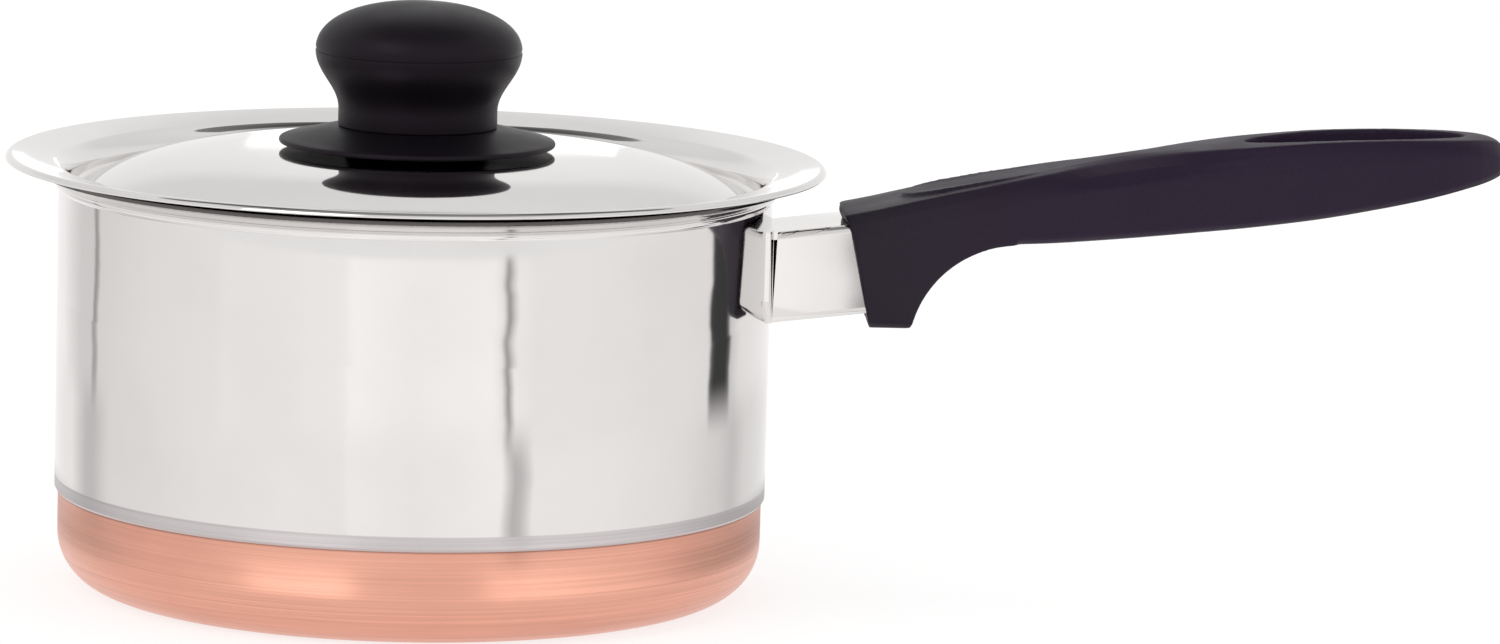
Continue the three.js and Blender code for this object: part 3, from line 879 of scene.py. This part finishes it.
def section(x):
    """A closed loop of (sideways, height) round the handle, in millimetres."""
    top, bottom, crease, half = follow(BACK, x), underside(x), follow(CREASE, x), follow(HALF_WIDTH, x)
    flat = min(follow(TOP_HALF, x), half - 0.2)
    crease = max(min(crease, top - 0.3), bottom + 0.3)
    foot = min(1.6, 0.3 * half, 0.3 * (crease - bottom))
    ledge = min(0.5, 0.2 * (top - crease))
    half_loop = [
        (0, top + follow(RIDGE, x)),
        (0.6 * flat, top + 0.8 * follow(RIDGE, x)),
        (flat, top),
        (flat + 0.12 * (half - flat), top - 0.06 * (top - crease)),
        (flat + 0.60 * (half - flat), top - 0.45 * (top - crease)),
        (flat + 0.93 * (half - flat), top - 0.90 * (top - crease)),
        (half - ledge, crease + 0.5 * ledge),
        (half, crease - 0.5 * ledge),
        (half - 0.1, crease - 0.3 * (crease - bottom)),
        (half - 0.25 * foot, bottom + foot),
        (half - foot, bottom + 0.25 * foot),
        (half - 2 * foot, bottom),
        (0, bottom),
    ]
    return half_loop + [(-y, z) for y, z in reversed(half_loop[1:-1])]


def station(x):
    """The section at distance x, in place; near the root it leans with the root's face."""
    near_root = max(0.0, 1 - x / LEAN_END) ** 2
    top, bottom, half = follow(BACK, x), underside(x), follow(HALF_WIDTH, x)
    points = []
    for y, z in section(x):
        low_share = (top - z) / (top - bottom)
        hood = HOOD * max(0.0, 1 - 4 * low_share) ** 1.5 * (1 - 0.6 * (y / half) ** 2)
        lean = near_root * (ROOT_SLANT * low_share - hood)
        points.append(Vector((root + (x + lean) * mm, y * mm, landing + z * mm)))
    return points


root_stations = [0, 3, 6.5, 10, 13, 17, 20.5, ARCH_ROUGH, 27, 31, 35, ARCH_CENTRE[0]]
middle_stations = [41 + 4 * i for i in range(23)]
tip_stations = [132, 135, 138, 140.5, 142.8, 144.5, 145.9, 147, 147.8, 148.4, 148.8]
stations = root_stations + middle_stations + tip_stations
print(len(stations), "stations with", len(section(0)), "points each")

# %% [markdown]
# ## Hull of the handle
#
# Each section is traced as a loop of edges in the same mesh. Bridging joins every loop to the
# next one, as planking does on a boat, and the two ends are filled.

# %% Handle hull
def traced_loop(points):
    """Adds a closed loop of edges to the mesh in edit mode."""
    bpy.ops.mesh.select_all(action="DESELECT")
    bpy.ops.mesh.primitive_plane_add(size=mm, location=points[0])
    bpy.ops.mesh.merge(type="CENTER")
    draw_on([*points, points[0]])


deselect()
grip = trace("moulded_grip", [*station(stations[0]), station(stations[0])[0]])
edit(grip)
for x in stations[1:]:
    traced_loop(station(x))
bpy.ops.mesh.select_all(action="SELECT")
bpy.ops.mesh.remove_doubles(threshold=0.01 * mm)
bpy.ops.mesh.select_mode(type="EDGE")
bpy.ops.mesh.select_all(action="SELECT")
bpy.ops.mesh.bridge_edge_loops()
bpy.ops.mesh.select_all(action="DESELECT")
bpy.ops.mesh.select_non_manifold()
bpy.ops.mesh.edge_face_add()
bpy.ops.mesh.select_all(action="SELECT")
bpy.ops.mesh.fill_holes(sides=0)
close_up(grip)
print("handle hull:", len(grip.data.polygons), "faces")

# %% [markdown]
# ## Thumb pad
#
# The pad is a low plateau with a round nose towards the pan that fades into the back. Its
# outline is traced at the pad's own height, filled and pulled down into the hull, and the two
# are joined. Pulling it down rather than up keeps the top exactly as it was traced.

# %% Thumb pad
PAD_START = 12.0
PAD_END = 56.0
PAD_FADE = 34.0
PAD_RISE = 1.05
PAD_SUNK = 3.0
PAD_HALF = 8.2


def pad_outline():
    """Round nose towards the pan, then a long taper; (distance, sideways) in millimetres."""
    nose = [(PAD_START + PAD_HALF * 1.15 * (1 - math.sin(a)), PAD_HALF * math.cos(a))
            for a in (math.pi / 2 * i / 10 for i in range(11))]
    side = [(30, 8.4), (40, 7.6), (50, 4.4), (PAD_END, 0.0)]
    upper = sorted(nose, key=lambda p: p[0]) + side
    return upper + [(x, -y) for x, y in reversed(upper[1:-1])]


def pad_height(x):
    """The back, raised by the pad's rise, which eases away towards the pad's end."""
    fade = min(1.0, max(0.0, (PAD_END - x) / PAD_FADE))
    return follow(BACK, x) + PAD_RISE * fade * fade * (3 - 2 * fade)


pad_loop = [Vector((root + x * mm, y * mm, landing + pad_height(x) * mm)) for x, y in pad_outline()]
pad = trace("pad", [*pad_loop, pad_loop[0]])
fill_and_extrude(pad, (0, 0, -PAD_SUNK * mm))
cut(grip, pad, operation="UNION")
print("handle with its pad:", len(grip.data.polygons), "faces")

# %% [markdown]
# ## Arch, hole, socket and screw pocket
#
# What is missing from the hull is cut with solids of the right size: a drum lying across for
# the finger arch, a stretched drum for the hanging hole, a box with rounded edges for the
# bracket, and two small drums for the screw. The edge between the landing and the arch is
# bevelled last, because a cut across a bevelled edge can fail.

# %% Cuts in the handle
root_half = grip_high.y
arch = add_drum("arch", ARCH_RADIUS * mm, -root_half - mm, root_half + mm, 128)
pick(arch)
bpy.ops.transform.rotate(value=math.pi / 2, orient_axis="X", center_override=(0, 0, 0))
bpy.ops.transform.translate(value=(root + ARCH_CENTRE[0] * mm, 0, landing + ARCH_CENTRE[1] * mm))
settle(arch)
cut(grip, arch)

hole_length = 50 * mm
hole_width = 18.5 * mm
hole_to_tip = 10 * mm
hole_centre = grip_high.x - hole_to_tip - hole_length / 2
hole = add_drum("hole", 0.5, landing, lip_top + 40 * mm, 64)
hole.scale = (hole_length, hole_width, 1)
hole.location.x = hole_centre
settle(hole)
cut(grip, hole)

fit = 0.3 * mm
socket = add_box("socket", pivot - half_box - Vector((0, fit, fit)),
                 pivot + half_box + Vector((reach + fit, fit, fit)))
select_where(socket, "EDGE", lambda middle, direction: abs(direction.x) > 0.9)
bpy.ops.mesh.bevel(offset=fold + fit, segments=6, affect="EDGES")
bpy.ops.object.mode_set(mode="OBJECT")
cut(grip, tilt_about_wall(socket))

screw_inset = 4.4 * mm
screw_along = body_radius + reach - screw_inset
pocket_top = box_height - box_depth / 2 - 2 * mm
pocket = add_drum("pocket", 4.9 * mm, 0, pocket_top, 48, at=(screw_along, 0))
screw_way = add_drum("screw_way", 2.4 * mm, 0, box_height, 32, at=(screw_along, 0))
cut(grip, tilt_about_wall(pocket), tilt_about_wall(screw_way))

landing_round = 1 * mm
landing_end = root + (ARCH_CENTRE[0] - math.sqrt(ARCH_RADIUS ** 2 - ARCH_CENTRE[1] ** 2)) * mm


def ends_landing(middle, direction):
    """Picks the edge across the handle where the landing meets the arch."""
    low_down = middle.z < landing + 0.05 * mm
    return abs(direction.y) > 0.9 and low_down and abs(middle.x - landing_end) < 0.3 * mm


select_where(grip, "EDGE", ends_landing)
bpy.ops.mesh.bevel(offset=landing_round, segments=6, affect="EDGES")
bpy.ops.object.mode_set(mode="OBJECT")
print("handle cut:", len(grip.data.polygons), "faces")

# %% [markdown]
# ## One moulded skin
#
# A moulding has no hard joins. A fine voxel remesh welds hull, pad and cuts into one skin, and a
# little smoothing gives each edge the small radius that a mould leaves.

# %% One moulded skin
voxel = 0.45 * mm
modify(grip, "REMESH", mode="VOXEL", voxel_size=voxel)
modify(grip, "SMOOTH", factor=0.5, iterations=2)
close_up(grip)
finish_mesh(grip, 60)

# %% [markdown]
# ## Screws and washers
#
# Two pan-head screws hold the knob and the handle. Each is turned, and a cross recess is cut in
# its head with two thin boxes. The handle's screw stands square to the tilted bracket.

# %% Fasteners
def turned_washer(name, bore, radius, low, high):
    """A flat washer whose outer edges are a little rounded off."""
    soft = 0.12 * mm
    outer = [(radius - soft, low), (radius, low + soft), (radius, high - soft), (radius - soft, high)]
    line = [(bore, low), *outer, (bore, high), (bore, low)]
    return turn(name, line, 64)


def cross_screw(name, head_radius, head, shank, under_head, end):
    """A pan-head screw that points up, with its head below the work."""
    foot = under_head - head
    pan_round = 0.28 * head_radius
    line = [
        (0, foot),
        (0.5 * head_radius, foot + 0.04 * mm),
        *arc((0.72 * head_radius, foot + pan_round), pan_round, -80, 0, 8),
        (head_radius, under_head),
        (shank, under_head),
    ]
    pitch = 0.7 * mm
    depth = 0.18 * mm
    height = under_head + pitch
    while height + pitch < end - shank:
        line += [(shank, height), (shank - depth, height + pitch / 2)]
        height += pitch
    line += [(shank, height), (shank, end - 0.5 * shank), (0.5 * shank, end), (0, end)]
    screw = turn(name, line, 64)
    reach_across = 0.6 * head_radius
    blade = 0.6 * mm
    deep = foot + 1.1 * mm
    for span in ((reach_across, blade), (blade, reach_across)):
        cut(screw, add_box("blade", (-span[0], -span[1], foot - mm), (span[0], span[1], deep)))
    return screw


play = 0.3 * mm
washer_low, washer_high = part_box("knob_washer")
lid_washer = turned_washer("lid_washer", 2.6 * mm, washer_high.x, washer_low.z, washer_high.z)
finish_mesh(lid_washer)
screw_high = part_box("knob_screw")[1]
lid_screw = cross_screw("lid_screw", 4.5 * mm, 2.6 * mm, 2.2 * mm, washer_low.z - play, screw_high.z)
finish_mesh(lid_screw)

washer_thick = 0.8 * mm
under_washer = pocket_top - play - washer_thick
screw_end = box_height - box_depth / 2 + bracket_wall + 4.9 * mm


def stand_on_bracket(piece):
    """Moves a fastener from the upright axis to the handle's screw hole and tilts it."""
    piece.location.x = screw_along
    return tilt_about_wall(piece)


grip_washer = stand_on_bracket(
    turned_washer("grip_washer", 2.4 * mm, 4.6 * mm, under_washer, under_washer + washer_thick))
finish_mesh(grip_washer)
grip_screw = stand_on_bracket(
    cross_screw("grip_screw", 4 * mm, 2.2 * mm, 2 * mm, under_washer - play, screw_end))
finish_mesh(grip_screw)

# %% [markdown]
# ## Putting the pieces on the frame
#
# Each skin stands for its solid and rides on the body that the solid belongs to. Solids that are
# right as they are keep their shape and only get a finish.

# %% Skins on their bodies
SKINS = [
    (pan_body, "pan", "pan_shell", "polished_steel", pan_steel),
    (cup_skin, "pan", "copper_cup", "copper", copper),
    (bracket, "pan", "handle_bracket", "polished_steel", bracket_steel),
    (grip, "pan", "handle_grip", "handle_plastic", grip_plastic),
    (grip_washer, "pan", "handle_washer", "zinc_steel", zinc),
    (grip_screw, "pan", "handle_screw", "zinc_steel", zinc),
    (lid_cover, "lid", "lid_shell", "polished_steel", lid_steel),
    (skirt, "lid", "knob_skirt", "knob_plastic", knob_plastic),
    (knob, "lid", "lid_knob", "knob_plastic", knob_plastic),
    (lid_washer, "lid", "knob_washer", "zinc_steel", zinc),
    (lid_screw, "lid", "knob_screw", "zinc_steel", zinc),
]
for piece, body, node, slot, material in SKINS:
    piece.data.materials.clear()
    piece.data.materials.append(material)
    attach(piece, body)
    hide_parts(node)

KEPT = {"heat_disc": aluminium, "bracket_nut": zinc, "knob_insert": brass}
for node, material in KEPT.items():
    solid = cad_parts[node]
    solid.data.materials.clear()
    solid.data.materials.append(material)
print("skins:", len(SKINS), "kept solids:", len(KEPT))

# %% [markdown]
# ## Studio
#
# Polished metal shows its surroundings more than itself, so the studio is the finish of the
# steel. The pale table is part lit and part glowing, which keeps it nearly white with only a
# soft shadow under the pan. It lies a hair below the base so that the two never flicker.

# %% Table
TABLE_SIZE = 8
TABLE_DROP = 0.05 * mm
table_paint = Finish(
    "pale_table", (0.36, 0.36, 0.36),
    roughness=0.9, specular_ior_level=0.0, emission_color=(1, 1, 1, 1), emission_strength=0.74)
deselect()
bpy.ops.mesh.primitive_plane_add(size=TABLE_SIZE, location=(0, 0, -TABLE_DROP))
table = bpy.context.object
table.name = "table"
table.data.materials.append(table_paint.material)
print("table of", TABLE_SIZE, "m at", round(table.location.z / mm, 3), "mm")

# %% [markdown]
# ## Air
#
# The air is a ramp of greys by height: white at the horizon, dark overhead, because a lid of
# mirror steel is white or black as the air above it is. Two bright windows low behind the pan
# put highlights on the dome, and two dark gaps high behind it shade the lid's shoulder. All of
# it is worked out from the direction of the view, so nothing has to be hung up.

# %% Air
world = bpy.data.worlds.new("studio_air")
bpy.context.scene.world = world
world.use_nodes = True
air = world.node_tree
where = air.nodes.new("ShaderNodeTexCoord")
parts = air.nodes.new("ShaderNodeSeparateXYZ")

# Strengths as (height of the direction, strength).
AIR = [(0.0, 0.95), (0.1, 0.92), (0.3, 0.9), (0.43, 0.80), (0.6, 0.82), (0.78, 0.86), (0.86, 0.6),
       (0.93, 0.28), (1.0, 0.25)]
shade = air.nodes.new("ShaderNodeValToRGB")
while len(shade.color_ramp.elements) < len(AIR):
    shade.color_ramp.elements.new(0.5)
for stop, (height, strength) in zip(shade.color_ramp.elements, AIR):
    stop.position = height
    stop.color = (strength, 0.995 * strength, 0.99 * strength, 1)
air.links.new(where.outputs["Generated"], parts.inputs[0])
air.links.new(parts.outputs["Z"], shade.inputs["Fac"])


def air_maths(operation, *values):
    """One Math node in the air's own tree."""
    made = air.nodes.new("ShaderNodeMath")
    made.operation = operation
    for socket, value in zip(made.inputs, values):
        if isinstance(value, (int, float)):
            socket.default_value = value
        else:
            air.links.new(value, socket)
    return made.outputs["Value"]


# Two bright windows low behind the pan, as (direction sideways, half width).
WINDOWS = [(-0.022, 0.010), (0.026, 0.018)]
WINDOW_GLOW = 0.4
WINDOW_TOP = 0.13
sideways = air_maths("DIVIDE", parts.outputs["X"], air_maths("MAXIMUM", parts.outputs["Y"], 0.01))
brightness = 1.0
for middle, half_width in WINDOWS:
    off_middle = air_maths("ABSOLUTE", air_maths("SUBTRACT", sideways, middle))
    inside = air_maths("LESS_THAN", off_middle, half_width)
    brightness = air_maths("ADD", air_maths("MULTIPLY", inside, WINDOW_GLOW), brightness)
low_air = air_maths("LESS_THAN", parts.outputs["Z"], WINDOW_TOP)
strength = air_maths("ADD", 1.0, air_maths("MULTIPLY", low_air, air_maths("SUBTRACT", brightness, 1.0)))

# Two dark gaps high behind the pan, either side of the middle; they shade the lid's shoulder.
GAP_FROM, GAP_TO = 0.78, 0.95
GAP_SIDE = 0.25
GAP_DEPTH = 0.72
high_air = air_maths("MULTIPLY", air_maths("GREATER_THAN", parts.outputs["Z"], GAP_FROM),
                     air_maths("LESS_THAN", parts.outputs["Z"], GAP_TO))
beside = air_maths("GREATER_THAN", air_maths("ABSOLUTE", sideways), GAP_SIDE)
behind = air_maths("GREATER_THAN", parts.outputs["Y"], 0.1)
gap = air_maths("MULTIPLY", high_air, air_maths("MULTIPLY", beside, behind))
strength = air_maths("MULTIPLY", strength, air_maths("SUBTRACT", 1.0, air_maths("MULTIPLY", gap, GAP_DEPTH)))
air.links.new(strength, air.nodes["Background"].inputs["Strength"])
air.links.new(shade.outputs["Color"], air.nodes["Background"].inputs["Color"])
print("air strengths by height:", AIR)

# %% [markdown]
# ## Rings of cards
#
# A round mirror wall shows its surroundings as upright panels and thin dark lines. A hand would
# stand cards around the pan and shift them one by one. Two rings with a ramp of greys hold all
# of them: the near ring feeds the wall and the cup, and the far ring what looks past it. Each
# tone is named by the place on the wall where it shows, and the mirror angle says where on the
# ring that is. The rings are seen only in reflections.

# %% Rings of cards
near_radius, near_top = 115 * mm, 58 * mm
far_radius, far_top = 270 * mm, 90 * mm
WANDER = 0.012


def ring_angle(wall_angle, radius):
    """Where on a ring the view ends up after it is mirrored at that angle of the wall, in degrees."""
    inward = math.degrees(math.asin(body_radius / radius * math.sin(math.radians(wall_angle))))
    return 2 * wall_angle - inward


# Tones as (angle on the wall, strength): 0 is the front of the pan and 90 its handle.
UPPER = [(-90, 1.0), (-76, 1.0), (-67, 0.74), (-62.2, 0.74), (-61.7, 0.35), (-61.1, 0.35), (-60.5, 0.8),
         (-46, 0.9), (-32.5, 0.94), (-31, 0.98), (-19.5, 1.0), (-11, 1.03), (-9.6, 1.12), (0, 1.06),
         (12.6, 1.12), (14.3, 0.98), (14.8, 0.3), (15.3, 0.45), (16.0, 1.05), (19.5, 0.97), (33, 0.96),
         (41, 0.92), (54.8, 0.9), (55.5, 0.05), (60.8, 0.05), (61.6, 0.7), (65, 0.9), (80, 0.98), (90, 1.0)]
LOWER = [(-90, 1.0), (-70, 0.95), (-64, 0.62), (-61, 0.62), (-56, 0.84), (-34, 0.95), (-20, 1.0), (-11, 0.99),
         (-9.6, 1.05), (0, 1.0), (8, 1.05), (14.3, 1.08), (15.6, 0.55), (17.8, 0.66), (19, 1.0), (33, 0.98),
         (48, 0.9), (58, 0.78), (63, 0.66), (68, 0.8), (90, 1.0)]
FLOOR = [(-90, 0.8), (-60, 0.66), (-45, 0.95), (-28, 1.05), (-25, 1.5), (-11, 1.75), (-8, 0.98), (12, 0.95),
         (14, 1.75), (30, 1.3), (44, 1.02), (53, 0.6), (70, 0.5), (90, 0.7)]


def tones(paint, place, stops, radius):
    """A ramp of greys over the ring's angle."""
    made = paint.node("ValToRGB", {"Fac": place}, output=None)
    elements = made.color_ramp.elements
    while len(elements) < len(stops):
        elements.new(0.5)
    for element, (angle, strength) in zip(elements, stops):
        element.position = 0.5 + ring_angle(angle, radius) / 360
        element.color = (strength, 0.985 * strength, 0.98 * strength, 1)
    return Wire(paint, made.outputs["Color"])


def card_ring(name, radius, low, high, paint, light):
    """An upright band that only reflections see, shining with the given tones."""
    deselect()
    middle = (0, 0, (low + high) / 2)
    bpy.ops.mesh.primitive_cylinder_add(
        vertices=128, radius=radius, depth=high - low, end_fill_type="NOTHING", location=middle
    )
    ring = bpy.context.object
    ring.name = name
    settle(ring)
    shine = paint.node("Emission", {"Color": light})
    paint.tree.links.new(shine.socket, paint.tree.nodes["Material Output"].inputs["Surface"])
    ring.data.materials.append(paint.material)
    ring.visible_camera = False
    ring.visible_shadow = False
    ring.visible_diffuse = False


def place_round(paint):
    """0 to 1 round the ring, a little unsteady, as a waving sheet would show it."""
    wander = paint.noise(1.0, (8, 8, 55), detail=3.0) - 0.5
    return paint.maths("ARCTAN2", paint.x, paint.y * -1) / math.tau + 0.5 + wander * WANDER


near_paint = Finish("near_card_tones", (0, 0, 0))
around = place_round(near_paint)
up_ring = near_paint.ramp(near_paint.z, 34 * mm, 48 * mm)
off_floor = near_paint.ramp(near_paint.z, 11 * mm, 17 * mm)
floor_tones, lower_tones, upper_tones = (
    tones(near_paint, around, stops, near_radius) for stops in (FLOOR, LOWER, UPPER))
near_light = near_paint.mix(up_ring, near_paint.mix(off_floor, floor_tones, lower_tones), upper_tones)
card_ring("near_cards", near_radius, 0, near_top, near_paint, near_light)

far_paint = Finish("far_card_tones", (0, 0, 0))
far_light = tones(far_paint, place_round(far_paint), UPPER, far_radius)
card_ring("far_cards", far_radius, 0, far_top, far_paint, far_light)
print("rings of cards:", near_radius, near_top, far_radius, far_top)

# %% [markdown]
# ## Lamps
#
# Two soft boxes are enough, because most of the light comes from the table and the air. The key
# from the left front draws the soft highlight on the black plastic. The top lamp lifts the
# shadows and stays out of reflections, where it would burn a square into the lid.

# %% Lamps
target = Vector((0, 0, 0.06))


def lamp(name, place, size, power):
    """A soft box of size and power in watts that faces the middle of the pan."""
    deselect()
    bpy.ops.object.light_add(type="AREA", location=place)
    made = bpy.context.object
    made.name = name
    made.data.shape = "RECTANGLE"
    made.data.size, made.data.size_y = size
    made.data.energy = power
    made.rotation_euler = (Vector(place) - target).to_track_quat("Z", "Y").to_euler()
    made.visible_camera = False
    return made


lamp("key", (-0.9, -1.2, 1.3), (0.9, 0.9), 4)
lamp("top", (0.2, 0.3, 1.8), (1.4, 1.4), 7).visible_glossy = False
print("lamps aimed at", tuple(target))

# %% [markdown]
# ## Camera
#
# The view is a long lens from a little above the table, turned and rolled a few degrees, so the
# pan stands left of centre with its handle reaching to the right. The camera could be aimed by
# a constraint, but its three directions are worked out here, because the roll is part of the
# look: the whole pan leans clockwise by a degree and a half.

# %% Camera
camera_distance = 1.6911
camera_height = 0.318
yaw, pitch, roll_angle = (math.radians(a) for a in (2.59, 8.59, 1.57))
focal_length = 180.5

ahead = Vector((math.sin(yaw) * math.cos(pitch), math.cos(yaw) * math.cos(pitch), -math.sin(pitch)))
level_right = ahead.cross(Vector((0, 0, 1))).normalized()
level_up = level_right.cross(ahead)
right = math.cos(roll_angle) * level_right + math.sin(roll_angle) * level_up
up = -math.sin(roll_angle) * level_right + math.cos(roll_angle) * level_up
pose = Matrix((right, up, -ahead)).transposed().to_4x4()
pose.translation = (0, -camera_distance, camera_height)
deselect()
bpy.ops.object.camera_add()
camera = bpy.context.object
camera.matrix_world = pose
camera.data.lens = focal_length
camera.data.sensor_width = 36
camera.data.clip_start = 0.05
bpy.context.scene.camera = camera
bpy.context.scene.view_settings.view_transform = "Standard"
print("camera at", [round(v, 3) for v in camera.location])
